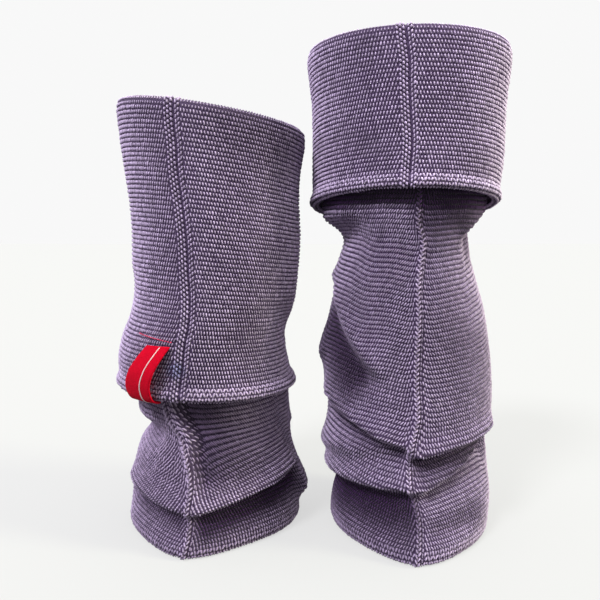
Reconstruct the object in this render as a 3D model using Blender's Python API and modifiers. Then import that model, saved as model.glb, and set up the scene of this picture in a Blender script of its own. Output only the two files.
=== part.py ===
"""A pair of knitted leg warmers that stand by themselves, each with its top folded outwards and turned down.

Each warmer is one knitted tube with a single front seam. Its leg stands on a turned-in hem, its creases
sag as the cloth does, and its cuff starts inside the opening, goes over the rim and hangs outside the leg.
The tables are in millimetres and degrees. Angle 0 faces the front (-Y) and angle 90 faces +X.
"""

import math

import bpy
import numpy as np

MM = 0.001
COLLECTION = "leg_warmers"

# Cloth and seam. The cloth turns with its front seam as far round as SEAM_FOLLOWED_TO, then less and less.
WALL = 2.5
SEAM_GAP = 0.3
LEG_SEAM_RAISED = 1.4
CUFF_SEAM_SUNK = 0.9
SEAM_HALF_WIDTH = 2.2
SEAM_FOLLOWED_TO = 60.0
KEEL_ANGLE = 30.0

# Leg hem, which is turned in and rests flat
HEM_RADIUS = 4.0
HEM_TURN_IN = 7.0
HEM_ARC_STEPS = 4
FLOOR_FADE = 14.0

# Cuff: fold over the rim, cloth that shows inside the opening, rolled lower edge
FOLD_RADIUS = 3.6
INSIDE_DEPTH = 12.0
FOLD_STEPS = 4
ROLL_HOLE = 0.5
ROLL_TURN = 250.0
ROLL_STEPS = 6

# Columns round each tube, as angles from its front seam: close together at the seam, wider at the back
SEAM_COLUMNS = (-6.0, -2.6, 0.0, 2.6, 6.0)
LEG_STEP = 9.0
CUFF_STEP = 14.0
FRONT_END = 105.0
BACK_COLUMNS = 8

# How far the top of a leg lies inside its cuff's outer face
LEG_INSIDE_CUFF = 5.0

# Where each warmer's axis stands
LEFT_AXIS = (-59.9, 8.0)
RIGHT_AXIS = (62.6, 8.0)

# Creases: how far each sags as a share of how far it stands out, how softly that starts, and how many
# reaches its trough lies from its ridge
SAG = 0.45
SAG_START = 1.0
TROUGH_OFFSET = 1.7

SECTION_COLUMNS = (
    "height", "shift_x", "shift_y", "half_width", "half_depth", "keel", "slope_x", "slope_y", "seam_angle",
)

LEFT_LEG_SECTIONS = (
    (258, -1.2, 0, 53.8, 56.2, 0, -0.15, 0.00, -14),
    (245, -1.0, 0, 52.9, 56.6, 0, -0.13, 0.00, -14),
    (235, -1.2, 0, 51.2, 57.0, 0, -0.11, 0.00, -15),
    (220, -0.8, 0, 49.2, 57.5, 0, -0.08, 0.00, -16),
    (200, 0.7, 0, 48.0, 58.5, 0, -0.03, 0.00, -18),
    (150, -0.5, 0, 45.5, 58.5, 0, 0.00, 0.00, -24),
    (120, -5.0, -1, 44.5, 57.0, 0, 0.00, 0.00, -28),
    (98, -4.0, -2, 46.6, 54.0, 0, 0.00, 0.00, -29),
    (86, -2.2, -2, 48.3, 52.5, 0, 0.00, 0.00, -28),
    (76, -1.0, -2, 48.0, 51.0, 1, 0.00, 0.00, -26),
    (65, 1.8, -2, 45.6, 50.0, 2, 0.00, 0.00, -21),
    (53, -0.4, -3, 49.3, 51.0, 3, 0.00, 0.00, -12),
    (40, -0.6, -3, 52.6, 52.0, 6, 0.00, 0.00, -9),
    (28, -0.7, -4, 54.6, 52.0, 9, 0.00, 0.00, -10),
    (14, -1.0, -5, 55.4, 51.5, 13, 0.00, 0.00, -9),
    (0, -1.8, -5, 55.5, 53.0, 15, 0.00, 0.00, -11),
)

RIGHT_LEG_SECTIONS = (
    (284, 0.0, 0, 57.6, 57.3, 0, 0.00, 0.00, -8),
    (255, 0.0, 0, 54.5, 57.0, 0, 0.00, 0.00, -5),
    (222, -1.0, -1, 52.0, 56.0, 0, 0.00, 0.00, 0),
    (203, -2.0, -2, 49.0, 54.0, 0, 0.00, 0.00, 1),
    (192, -3.2, -3, 43.6, 53.0, 0, 0.00, 0.00, 2),
    (181, -1.0, -4, 40.5, 52.0, 1, 0.00, 0.00, 3),
    (170, -1.5, -4, 41.5, 52.5, 1, 0.00, 0.00, 2),
    (155, -1.5, -4, 45.5, 54.0, 1, 0.00, 0.00, 0),
    (140, 0.0, -4, 48.5, 54.5, 1, 0.00, 0.00, -1),
    (120, 0.3, -4, 52.0, 55.0, 1, 0.00, 0.00, -2),
    (100, 1.0, -5, 53.5, 55.0, 1, 0.00, 0.00, -3),
    (80, 2.5, -6, 52.5, 55.0, 2, 0.00, 0.00, -4),
    (60, 1.0, -6, 51.0, 55.0, 2, 0.00, 0.00, -7),
    (42, 1.8, -7, 51.0, 56.0, 3, 0.00, 0.00, -8),
    (22, 3.6, -8, 51.0, 57.0, 7, 0.00, 0.00, -5),
    (0, 2.4, -10, 50.0, 59.0, 12, 0.00, 0.00, -6),
)

LEFT_CUFF_SECTIONS = (
    (258, -1.2, 0, 58.8, 61.0, 0, -0.15, 0.00, -14),
    (245, -1.0, 0, 57.9, 61.5, 0, -0.13, 0.00, -14),
    (235, -1.2, 0, 56.5, 62.0, 0, -0.11, 0.00, -13),
    (220, -0.8, 0, 54.6, 63.0, 0, -0.08, 0.00, -13),
    (200, 0.7, 0, 53.2, 64.0, 0, -0.03, 0.00, -12),
    (185, 1.4, 0, 53.1, 64.5, 0, 0.00, 0.00, -11),
    (164, 0.5, 0, 52.7, 65.0, 0, 0.00, 0.00, -9),
    (147, -0.7, 0, 51.4, 65.5, 0, 0.00, 0.00, -7),
    (135, -3.3, 0, 51.0, 65.5, 0, 0.00, 0.00, -5),
    (123, -6.6, 0, 52.4, 65.0, 0, 0.00, 0.00, -4),
    (111, -8.0, 0, 54.0, 64.0, 0, 0.00, 0.00, -4),
    (98, -7.0, 0, 55.3, 63.0, 0, -0.02, 0.00, -7),
    (86, -5.3, 0, 56.6, 62.0, 0, -0.03, 0.00, -9),
)

RIGHT_CUFF_SECTIONS = (
    (300, -0.2, 0, 62.4, 62.0, 0, 0.00, 0.00, -10),
    (290, -0.1, 0, 62.8, 62.0, 0, 0.00, 0.00, -9),
    (280, 0.1, 0, 61.8, 62.0, 0, 0.00, 0.00, -8),
    (268, 0.1, 0, 60.4, 62.0, 0, 0.00, 0.00, -8),
    (250, 0.1, 0, 59.8, 62.0, 0, 0.00, 0.00, -7),
    (232, 0.0, 0, 59.7, 62.0, 0, 0.00, -0.05, -6),
    (215, -0.8, 0, 58.8, 61.5, 0, 0.00, -0.12, -6),
    (200, -1.6, 0, 57.6, 61.0, 0, 0.00, -0.14, -6),
)

# A crease runs from its start to its end. It stands out along that line, and dips on the right-hand side of
# its direction of travel. Reach is the half width of each, and fade is how softly it ends.
FOLD_COLUMNS = (
    "start_angle", "start_height", "end_angle", "end_height", "reach", "rise", "dip", "fade",
)

LEFT_LEG_FOLDS = (
    (-8, 34, -27, 92, 6.5, 3.0, 8.5, 14),
    (-8, 25, 76, 41, 6.0, 3.5, 7.0, 12),
    (-82, 31, -9, 26, 6.0, 2.5, 5.0, 12),
    (-115, 75, -42, 72, 7.0, 1.5, 3.0, 16),
    (80, 19, 142, 29, 11.0, 5.5, 1.0, 16),
    (96, 62, 158, 50, 8.0, 2.5, 4.0, 18),
    (148, 36, 212, 30, 8.0, 2.5, 4.5, 18),
    (-152, 60, -96, 46, 8.0, 2.0, 3.5, 18),
    (166, 74, 232, 70, 8.0, 1.5, 3.5, 18),
)

RIGHT_LEG_FOLDS = (
    (-150, 192, -42, 199, 7.0, 5.0, 4.5, 14),
    (44, 186, 96, 204, 9.0, 3.0, 3.0, 14),
    (-76, 149, -26, 104, 10.0, 2.0, 7.5, 14),
    (-130, 158, -84, 158, 7.0, 1.5, 4.0, 12),
    (-128, 116, -84, 108, 12.0, 3.5, 0.0, 14),
    (-88, 86, -5, 63, 7.5, 3.0, 6.5, 14),
    (-112, 50, -20, 61, 9.0, 4.5, 0.0, 14),
    (-112, 36, -5, 40, 7.5, 3.0, 7.0, 14),
    (-7, 58, 66, 71, 6.5, 4.5, 8.0, 12),
    (72, 73, 130, 74, 6.0, 0.5, 4.0, 12),
    (-4, 37, 64, 61, 7.5, 3.0, 5.0, 12),
    (38, 10, -66, 9, 8.0, 1.0, 2.0, 14),
    (104, 128, 176, 112, 9.0, 2.5, 4.5, 18),
    (112, 84, 172, 66, 9.0, 3.0, 5.0, 18),
    (150, 40, 236, 46, 8.0, 2.5, 5.0, 18),
    (-168, 96, -116, 78, 9.0, 2.5, 5.0, 18),
    (176, 158, 244, 150, 10.0, 2.0, 4.0, 20),
    (124, 182, 196, 190, 8.0, 2.5, 3.5, 18),
)

LEFT_CUFF_FOLDS = (
    (-112, 172, -58, 166, 13.0, 0.0, 1.5, 20),
    (66, 150, 118, 120, 14.0, 1.0, 2.0, 20),
    (150, 190, 214, 176, 16.0, 1.5, 2.0, 24),
    (160, 126, 226, 132, 14.0, 1.0, 2.0, 24),
)

RIGHT_CUFF_FOLDS = (
    (110, 262, 168, 246, 14.0, 1.0, 1.5, 24),
    (-168, 240, -112, 252, 14.0, 1.0, 1.5, 24),
)

# Rows down each tube. A leg's last height is where its hem starts to turn in.
LEFT_LEG_HEIGHTS = (
    215, 180, 145, 115, 98, 88, 80, 73, 67, 61, 55, 49, 43, 38, 33, 28, 23, 18, 13, 8, 4,
)
RIGHT_LEG_HEIGHTS = (
    262, 240, 220, 208, 202, 197, 192, 187, 182, 176, 170, 163, 156, 149, 142, 135, 128, 121, 114,
    107, 100, 93, 87, 81, 75, 69, 64, 59, 54, 49, 44, 39, 34, 29, 24, 19, 14, 9, 4,
)
LEFT_CUFF_HEIGHTS = (242, 226, 206, 184, 162, 146, 132, 120, 108, 98)
RIGHT_CUFF_HEIGHTS = (286, 272, 256, 240, 225, 212)
LEFT_RIM = 258.5
RIGHT_RIM = 299.5
LEFT_CUFF_EDGE = 90.0
RIGHT_CUFF_EDGE = 203.5

# Label: a band sewn on along its top, bowed off the cuff and taken under the cuff's rolled edge
LABEL_COLUMNS = ("height", "outset", "centre_angle", "half_width")
LABEL_PATH = (
    (122, 0.9, -20.0, 6.8),
    (116, 4.0, -23.0, 7.0),
    (107, 7.0, -27.0, 7.4),
    (98, 7.6, -30.0, 7.6),
    (91, 6.2, -31.0, 7.4),
    (87, 3.9, -31.0, 7.2),
    (86, 1.2, -30.5, 7.0),
    (86, -1.4, -30.0, 6.8),
)
LABEL_THICKNESS = 1.0
LABEL_STEPS = 16
LABEL_ACROSS = 3

# Finishes: base colour, roughness
LILAC_KNIT = ("lilac_knit", (0.165, 0.130, 0.205, 1.0), 0.93)
LABEL_RED = ("label_red", (0.600, 0.005, 0.022, 1.0), 0.62)


def clear_scene():
    for item in list(bpy.data.objects):
        bpy.data.objects.remove(item, do_unlink=True)


def smooth_step(x):
    x = np.clip(x, 0.0, 1.0)
    return x * x * (3.0 - 2.0 * x)


def table_value(rows, columns, name, heights):
    """A column of a table at any height, on a smooth curve through its rows."""
    table = np.array(rows, float)[::-1]
    knots = table[:, 0]
    values = table[:, columns.index(name)]
    slopes = np.gradient(values, knots)
    at = np.clip(heights, knots[0], knots[-1])
    low = np.clip(np.searchsorted(knots, at, side="right") - 1, 0, len(knots) - 2)
    span = knots[low + 1] - knots[low]
    t = (at - knots[low]) / span
    return (
        values[low] * (1 + 2 * t) * (1 - t) ** 2
        + slopes[low] * span * t * (1 - t) ** 2
        + values[low + 1] * t * t * (3 - 2 * t)
        + slopes[low + 1] * span * t * t * (t - 1)
    )


def wrapped(angle):
    return (angle + 180.0) % 360.0 - 180.0


def crease_depth(folds, angle, height, radius):
    """How far the creases push the cloth out (or in, where negative) at an angle and a height."""
    depth = np.zeros(np.broadcast(angle, height).shape)
    for row in folds:
        fold = dict(zip(FOLD_COLUMNS, row))
        middle = (fold["start_angle"] + fold["end_angle"]) / 2
        half_turn = (fold["end_angle"] - fold["start_angle"]) / 2
        along_x = 2 * math.radians(half_turn) * radius
        along_z = fold["end_height"] - fold["start_height"]
        length = math.hypot(along_x, along_z)
        x = np.radians(wrapped(angle - middle) + half_turn) * radius
        z = height - fold["start_height"]
        along = (x * along_x + z * along_z) / length
        off = (z * along_x - x * along_z) / length
        reach = fold["reach"]
        ends = smooth_step(along / fold["fade"] + 0.5) * smooth_step((length - along) / fold["fade"] + 0.5)
        ridge = fold["rise"] * np.exp(-((off / reach) ** 2))
        trough = fold["dip"] * np.exp(-((off / reach + TROUGH_OFFSET) ** 2))
        depth = depth + ends * (ridge - trough)
    return depth


def cloth_points(tube, from_seam, height, inset, raised=0.0):
    """Points of a tube's outer face, from angles off its front seam, heights and how far in they lie."""
    def column(name):
        return table_value(tube["sections"], SECTION_COLUMNS, name, height)

    follow = smooth_step((180.0 - np.abs(from_seam)) / (180.0 - SEAM_FOLLOWED_TO))
    angle = from_seam + follow * column("seam_angle")
    turn = np.radians(angle)
    half_width = column("half_width")
    half_depth = column("half_depth")
    out_x = np.sin(turn) * half_depth
    out_y = -np.cos(turn) * half_width
    out_length = np.hypot(out_x, out_y)
    off_floor = smooth_step(height / FLOOR_FADE)
    crease = off_floor * crease_depth(tube["folds"], angle, height, half_width.mean())
    sag = SAG * off_floor * (crease + np.hypot(crease, SAG_START)) / 2
    push = crease + raised - inset
    x = np.sin(turn) * half_width + push * out_x / out_length
    y = -np.cos(turn) * half_depth + push * out_y / out_length
    y = y - column("keel") * np.exp(-((from_seam / KEEL_ANGLE) ** 2))
    tilt_x = np.sin(turn) * (half_width + tube["inside_by"])
    tilt_y = -np.cos(turn) * (half_depth + tube["inside_by"])
    z = height + column("slope_x") * tilt_x + column("slope_y") * tilt_y - sag
    x = x + tube["axis"][0] + column("shift_x")
    y = y + tube["axis"][1] + column("shift_y")
    return np.stack([x, y, z], axis=-1)


def columns_from_seam(step):
    """The angles off the seam at which a tube has its columns, in their order round it."""
    front = np.arange(SEAM_COLUMNS[-1] + step, FRONT_END + step / 2, step)
    back = np.linspace(front[-1], 360.0 - front[-1], BACK_COLUMNS + 2)[1:-1]
    return wrapped(np.concatenate([SEAM_COLUMNS, front, back, 360.0 - front[::-1]]))


def leg_rows(rim, heights):
    """(height, inset) of each row, down the leg and round its turned-in hem."""
    top = rim - FOLD_RADIUS - INSIDE_DEPTH - SEAM_GAP
    turn = np.radians(np.linspace(0.0, 90.0, HEM_ARC_STEPS + 1))[1:]
    down = np.array([(h, 0.0) for h in (top,) + heights])
    arc = np.stack([HEM_RADIUS * (1 - np.sin(turn)), HEM_RADIUS * (1 - np.cos(turn))], axis=1)
    flat = np.array([(0.0, HEM_RADIUS + HEM_TURN_IN)])
    return np.concatenate([down, arc, flat])


def cuff_rows(rim, heights, edge):
    """(height, inset) of each row, up inside the opening, over the rim, down outside and round the roll."""
    top = rim - FOLD_RADIUS
    inside = np.array([(top - INSIDE_DEPTH, 2 * FOLD_RADIUS), (top - INSIDE_DEPTH / 2, 2 * FOLD_RADIUS)])
    over = np.radians(np.linspace(180.0, 0.0, FOLD_STEPS + 1))
    fold = np.stack([top + FOLD_RADIUS * np.sin(over), FOLD_RADIUS * (1 - np.cos(over))], axis=1)
    down = np.array([(h, 0.0) for h in heights])
    curl = np.radians(np.linspace(0.0, ROLL_TURN, ROLL_STEPS + 1))
    roll = np.stack([edge - ROLL_HOLE * np.sin(curl), -ROLL_HOLE * (1 - np.cos(curl))], axis=1)
    return np.concatenate([inside, fold, down, roll])


def row_normals(points):
    """Outward unit normals of a grid of points that is closed round, kept level on its first row."""
    round_way = np.roll(points, -1, axis=1) - np.roll(points, 1, axis=1)
    along = np.gradient(points, axis=0)
    normal = np.cross(along, round_way)
    normal[0, :, 2] = 0.0
    return normal / np.linalg.norm(normal, axis=-1, keepdims=True)


def tube_object(name, tube, rows, step, seam_height, material):
    """A tube of cloth: its outer skin with the seam, its plain inner skin and the edges that join them."""
    from_seam = columns_from_seam(step)[None, :]
    height = rows[:, :1]
    inset = rows[:, 1:]
    radius = table_value(tube["sections"], SECTION_COLUMNS, "half_width", height)
    seam = seam_height * np.exp(-((np.radians(from_seam) * radius / SEAM_HALF_WIDTH) ** 2))
    seam = seam * np.where(height > 0.0, 1.0, 0.0)
    plain = cloth_points(tube, from_seam, height, inset)
    outer = cloth_points(tube, from_seam, height, inset, seam)
    inner = plain - row_normals(plain) * WALL
    row_count, column_count = plain.shape[:2]
    vertices = np.concatenate([outer.reshape(-1, 3), inner.reshape(-1, 3)]) * MM
    inner_first = row_count * column_count
    faces = []
    for r in range(row_count - 1):
        for c in range(column_count):
            a = r * column_count + c
            b = r * column_count + (c + 1) % column_count
            faces.append((a, a + column_count, b + column_count, b))
            faces.append((inner_first + b, inner_first + b + column_count, inner_first + a + column_count,
                          inner_first + a))
    last = (row_count - 1) * column_count
    for c in range(column_count):
        d = (c + 1) % column_count
        faces.append((c, d, inner_first + d, inner_first + c))
        faces.append((last + d, last + c, inner_first + last + c, inner_first + last + d))
    return add_mesh(name, vertices, faces, material)


def add_mesh(name, vertices, faces, material):
    mesh = bpy.data.meshes.new(name)
    mesh.from_pydata(vertices.tolist(), [], faces)
    mesh.materials.append(material)
    mesh.shade_smooth()
    item = bpy.data.objects.new(name, mesh)
    bpy.data.collections[COLLECTION].objects.link(item)
    return item


def label_object(name, cuff, material):
    """The loop label: a band whose points are the cuff's, moved out, and given its thickness."""
    table = np.array(LABEL_PATH, float)
    at = np.linspace(0, len(table) - 1, LABEL_STEPS + 1)
    knots = np.arange(len(table))
    path = {}
    for i, column in enumerate(LABEL_COLUMNS):
        rows = np.stack([knots, table[:, i]], axis=1)[::-1]
        path[column] = table_value(rows, ("knot", "value"), "value", at)[:, None]
    across = np.linspace(-1.0, 1.0, LABEL_ACROSS + 1)[None, :]
    height = path["height"] + 0.0 * across
    seam_angle = table_value(cuff["sections"], SECTION_COLUMNS, "seam_angle", height)
    radius = (
        table_value(cuff["sections"], SECTION_COLUMNS, "half_width", height)
        + table_value(cuff["sections"], SECTION_COLUMNS, "half_depth", height)
    ) / 2
    angle = path["centre_angle"] + across * np.degrees(path["half_width"] / radius)
    points = cloth_points(cuff, angle - seam_angle, height, -path["outset"] + 0.0 * across)
    vertices = points.reshape(-1, 3) * MM
    faces = []
    width = LABEL_ACROSS + 1
    for r in range(LABEL_STEPS):
        for c in range(LABEL_ACROSS):
            a = r * width + c
            faces.append((a, a + width, a + width + 1, a + 1))
    item = add_mesh(name, vertices, faces, material)
    solidify = item.modifiers.new("cloth thickness", "SOLIDIFY")
    solidify.thickness = LABEL_THICKNESS * MM
    solidify.offset = 1.0
    return item


def material_of(finish):
    name, colour, roughness = finish
    material = bpy.data.materials.new(name)
    material.use_nodes = True
    shader = material.node_tree.nodes["Principled BSDF"]
    shader.inputs["Base Color"].default_value = colour
    shader.inputs["Roughness"].default_value = roughness
    shader.inputs["Metallic"].default_value = 0.0
    material.diffuse_color = colour
    return material


def tube_of(axis, sections, folds, inside_by):
    return {"axis": axis, "sections": sections, "folds": folds, "inside_by": inside_by}


def main():
    clear_scene()
    collection = bpy.data.collections.new(COLLECTION)
    bpy.context.scene.collection.children.link(collection)
    knit = material_of(LILAC_KNIT)
    red = material_of(LABEL_RED)

    left_leg = tube_of(LEFT_AXIS, LEFT_LEG_SECTIONS, LEFT_LEG_FOLDS, LEG_INSIDE_CUFF)
    right_leg = tube_of(RIGHT_AXIS, RIGHT_LEG_SECTIONS, RIGHT_LEG_FOLDS, LEG_INSIDE_CUFF)
    left_cuff = tube_of(LEFT_AXIS, LEFT_CUFF_SECTIONS, LEFT_CUFF_FOLDS, 0.0)
    right_cuff = tube_of(RIGHT_AXIS, RIGHT_CUFF_SECTIONS, RIGHT_CUFF_FOLDS, 0.0)

    tube_object("left_leg", left_leg, leg_rows(LEFT_RIM, LEFT_LEG_HEIGHTS), LEG_STEP, LEG_SEAM_RAISED, knit)
    tube_object("right_leg", right_leg, leg_rows(RIGHT_RIM, RIGHT_LEG_HEIGHTS), LEG_STEP, LEG_SEAM_RAISED, knit)
    left_rows = cuff_rows(LEFT_RIM, LEFT_CUFF_HEIGHTS, LEFT_CUFF_EDGE)
    right_rows = cuff_rows(RIGHT_RIM, RIGHT_CUFF_HEIGHTS, RIGHT_CUFF_EDGE)
    tube_object("left_cuff", left_cuff, left_rows, CUFF_STEP, -CUFF_SEAM_SUNK, knit)
    tube_object("right_cuff", right_cuff, right_rows, CUFF_STEP, -CUFF_SEAM_SUNK, knit)
    label_object("left_label", left_cuff, red)


main()
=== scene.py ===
# Looks of a pair of knitted leg warmers on their CAD frame: cloth shells, knit stitches, seams and a loop
# label. Tables are in millimetres and degrees. Angle 0 faces the front (-Y) and angle 90 faces +X.

import math

import bpy
import numpy as np
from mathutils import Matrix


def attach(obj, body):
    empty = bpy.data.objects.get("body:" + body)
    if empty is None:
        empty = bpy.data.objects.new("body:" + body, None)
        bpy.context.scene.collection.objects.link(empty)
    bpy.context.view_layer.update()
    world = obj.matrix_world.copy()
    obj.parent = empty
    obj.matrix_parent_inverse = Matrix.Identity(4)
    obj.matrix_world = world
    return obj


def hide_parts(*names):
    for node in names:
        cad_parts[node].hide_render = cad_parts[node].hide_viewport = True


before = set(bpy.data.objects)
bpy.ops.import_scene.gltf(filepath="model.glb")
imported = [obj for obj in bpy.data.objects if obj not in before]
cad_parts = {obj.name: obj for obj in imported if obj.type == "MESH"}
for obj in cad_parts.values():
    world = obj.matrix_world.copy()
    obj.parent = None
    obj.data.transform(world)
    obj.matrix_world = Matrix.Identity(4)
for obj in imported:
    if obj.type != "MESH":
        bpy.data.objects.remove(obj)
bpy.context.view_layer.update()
mm = 0.001
tiny = 1e-9                  # keeps a division off zero

# The cloth's own sizes, as the solids have them
cloth = {
    "hemRadius": 4.0,
    "hemTurnIn": 7.0,
    "floorFade": 14.0,       # creases come in over this height above the floor
    "foldRadius": 3.6,
    "insideDepth": 12.0,
    "seamGap": 0.3,
    "seamHalfWidth": 2.2,
    "seamFollowedTo": 60.0,  # the knit follows its seam in full as far round as this
    "keelAngle": 30.0,
    "sag": 0.55,
    "sagStart": 1.0,
    "troughReach": 2.1,      # a trough's width over its ridge's
    "edgeAhead": 0.2,        # the share of a crease's edge on its ridge's side
    "edgeSpread": 5.0,       # an edge softens by this much towards the sides
    "sidesFrom": 45.0,       # from this angle on
    "sidesOver": 40.0,       # and over this much
    "shadePower": 4,         # how suddenly a crease's painted shade ends
    "cuffShadeOver": 5.0,    # the painted shadow under a cuff grows over this height
    # the limits of the painted shade; below 0 it is painted light
    "palest": -0.5,
    "darkest": 1.1,
    "outerSkinIn": 0.65,     # the shell's outer face lies this far inside the solid's
    "innerSkinIn": 2.35,     # and its inner face this far
    "offFloor": 0.2,         # no point of a shell is lower
    "weltRise": 7.0,         # a cuff's edge flares out over this height
    "weltOut": 2.2,
    "weltRadius": 2.9,
    "weltTurn": 175.0,
    "strokesRound": 200,     # what a row of knit shows, two strokes to a stitch
    "strokesOut": 4.0,       # the strokes' radius over a tube's creaseRadius
}

sectionColumns = (
    "height", "shiftX", "shiftY", "halfWidth", "halfDepth", "keel", "slopeX", "slopeY", "seamAngle",
)
# a crease has its ridge on the left of its way from start to end and its trough on the right, with painted
# shade as dark as its shade down as far as its spread; a row with no rise or dip is painted shade alone
creaseColumns = (
    "startAngle", "startHeight", "endAngle", "endHeight", "reach", "rise", "dip", "fade", "edge", "shade",
    "spread",
)

leftLeg = {
    "name": "left_leg",
    "axis": (-59.9, 8.0),
    "insideBy": 5.0,
    "creaseRadius": 51.388,
    "seamHeight": 1.4,
    "rim": 258.5,
    "stitchTop": 116.0,
    "hemAbove": 8.0,
    # shade: painted shade over the whole tube's colour; below 0 it is painted light
    "shade": 0.28,
    "rowPitch": 2.73,
    "flat": (0.400, 0.265),
    "sections": (
        (258, -1.2, 0, 53.8, 56.2, 0, -0.15, 0.00, -14),
        (245, -1.0, 0, 52.9, 56.6, 0, -0.13, 0.00, -14),
        (235, -1.2, 0, 51.2, 57.0, 0, -0.11, 0.00, -15),
        (220, -0.8, 0, 49.2, 57.5, 0, -0.08, 0.00, -16),
        (200, 0.7, 0, 48.0, 58.5, 0, -0.03, 0.00, -18),
        (150, -0.5, 0, 45.5, 58.5, 0, 0.00, 0.00, -24),
        (120, -5.0, -1, 44.5, 57.0, 0, 0.00, 0.00, -28),
        (98, -4.0, -2, 46.6, 54.0, 0, 0.00, 0.00, -29),
        (86, -2.2, -2, 48.3, 52.5, 0, 0.00, 0.00, -28),
        (76, -1.0, -2, 48.0, 51.0, 1, 0.00, 0.00, -26),
        (65, 1.8, -2, 45.6, 50.0, 2, 0.00, 0.00, -21),
        (53, -0.4, -3, 49.3, 51.0, 3, 0.00, 0.00, -12),
        (40, -0.6, -3, 52.6, 52.0, 6, 0.00, 0.00, -9),
        (28, -0.7, -4, 54.6, 52.0, 9, 0.00, 0.00, -10),
        (14, -1.0, -5, 55.4, 51.5, 13, 0.00, 0.00, -9),
        (0, -1.8, -5, 55.5, 53.0, 15, 0.00, 0.00, -11),
    ),
    "creases": (
        (-4, 34, -23, 92, 7.0, 2.0, 6.5, 14, 7.0, 0.58, 44),
        (-5, 38, -23, 94, 5.0, 0.0, 0.0, 10, 5.0, 0.50, 15),
        (-8, 25, 76, 41, 6.5, 3.5, 7.0, 12, 7.0, 0.94, 20),
        (-82, 31, -9, 26, 6.5, 2.5, 5.5, 12, 8.0, 0.60, 12),
        (-115, 75, -42, 72, 7.0, 1.5, 3.0, 16, 9, 0.35, 14),
        (80, 19, 142, 29, 11.0, 5.5, 1.0, 16, 9, 0.25, 14),
        (96, 62, 158, 50, 8.0, 2.5, 4.0, 18, 8, 0.45, 15),
        (148, 36, 212, 30, 8.0, 2.5, 4.5, 18, 7, 0.55, 14),
        (-152, 60, -96, 46, 8.0, 2.0, 3.5, 18, 8, 0.40, 14),
        (166, 74, 232, 70, 8.0, 1.5, 3.5, 18, 8, 0.40, 14),
    ),
    # how far the rows dip towards the front seam: height, reach up and down, dip, angle it spreads over
    "rowDips": ((50.0, 27.0, 22.0, 30.0),),
}

rightLeg = {
    "name": "right_leg",
    "axis": (62.6, 8.0),
    "insideBy": 5.0,
    "creaseRadius": 49.785,
    "seamHeight": 1.4,
    "rim": 299.5,
    "stitchTop": 228.0,
    "hemAbove": 9.0,
    "shade": 0.11,
    "rowPitch": 2.73,
    "flat": (0.400, 0.330),
    "sections": (
        (284, 0.0, 0, 57.6, 57.3, 0, 0.00, 0.00, -8),
        (255, 0.0, 0, 54.5, 57.0, 0, 0.00, 0.00, -5),
        (222, -1.0, -1, 52.0, 56.0, 0, 0.00, 0.00, 0),
        (203, -2.0, -2, 49.0, 54.0, 0, 0.00, 0.00, 1),
        (192, -3.2, -3, 43.6, 53.0, 0, 0.00, 0.00, 2),
        (181, -1.0, -4, 40.5, 52.0, 1, 0.00, 0.00, 3),
        (170, -1.5, -4, 41.5, 52.5, 1, 0.00, 0.00, 2),
        (155, -1.5, -4, 45.5, 54.0, 1, 0.00, 0.00, 0),
        (140, 0.0, -4, 48.5, 54.5, 1, 0.00, 0.00, -1),
        (120, 0.3, -4, 52.0, 55.0, 1, 0.00, 0.00, -2),
        (100, 1.0, -5, 53.5, 55.0, 1, 0.00, 0.00, -3),
        (80, 2.5, -6, 52.5, 55.0, 2, 0.00, 0.00, -4),
        (60, 1.0, -6, 51.0, 55.0, 2, 0.00, 0.00, -7),
        (42, 1.8, -7, 51.0, 56.0, 3, 0.00, 0.00, -8),
        (22, 3.6, -8, 51.0, 57.0, 7, 0.00, 0.00, -5),
        (0, 2.4, -10, 50.0, 59.0, 12, 0.00, 0.00, -6),
    ),
    "creases": (
        (-150, 192, -42, 199, 10.0, 4.0, 3.0, 22, 14, 0.25, 14),
        (44, 186, 96, 204, 9.0, 3.0, 3.0, 14, 9, 0.70, 22),
        (-76, 149, -26, 104, 9.0, 2.5, 7.5, 16, 15, 0.90, 36),
        (-130, 158, -84, 158, 7.0, 1.5, 4.0, 12, 9, 0.45, 14),
        (-128, 116, -84, 108, 12.0, 3.5, 0.0, 14, 12, 0.0, 10),
        (-88, 86, -5, 63, 7.0, 3.0, 6.5, 14, 8.5, 0.60, 11),
        (-112, 50, -20, 61, 9.0, 4.5, 0.0, 14, 12, 0.0, 10),
        (-112, 36, -5, 40, 7.0, 3.0, 7.0, 14, 8.5, 1.0, 31),
        (-7, 58, 66, 71, 6.5, 4.5, 8.0, 12, 6.0, 0.78, 16),
        (72, 73, 130, 74, 6.0, 0.5, 4.0, 12, 7, 0.40, 12),
        (-4, 37, 64, 61, 7.0, 3.0, 6.0, 12, 6.0, 0.38, 7),
        (38, 10, -66, 9, 8.0, 1.0, 2.0, 14, 9, 0.0, 10),
        (104, 128, 176, 112, 9.0, 2.5, 4.5, 18, 8, 0.50, 16),
        (112, 84, 172, 66, 9.0, 3.0, 5.0, 18, 7, 0.60, 16),
        (150, 40, 236, 46, 8.0, 2.5, 5.0, 18, 6, 0.70, 18),
        (-168, 96, -116, 78, 9.0, 2.5, 5.0, 18, 8, 0.55, 16),
        (176, 158, 244, 150, 10.0, 2.0, 4.0, 20, 9, 0.45, 16),
        (124, 182, 196, 190, 8.0, 2.5, 3.5, 18, 9, 0.40, 14),
        (-2, 207, 116, 207, 5.0, 0.0, 0.0, 12, 5, 0.78, 27),
        (-2, 27, 50, 30, 5.0, 0.0, 0.0, 12, 8, 0.44, 16),
        (2, 134, 84, 128, 5.0, 0.0, 0.0, 18, 12, 0.24, 34),
    ),
    "rowDips": ((150.0, 40.0, 5.0, 45.0), (40.0, 22.0, 7.0, 40.0)),
    "shadedAbove": 199.0,    # painted shadow: the cuff keeps the light off the leg above this
}

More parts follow.
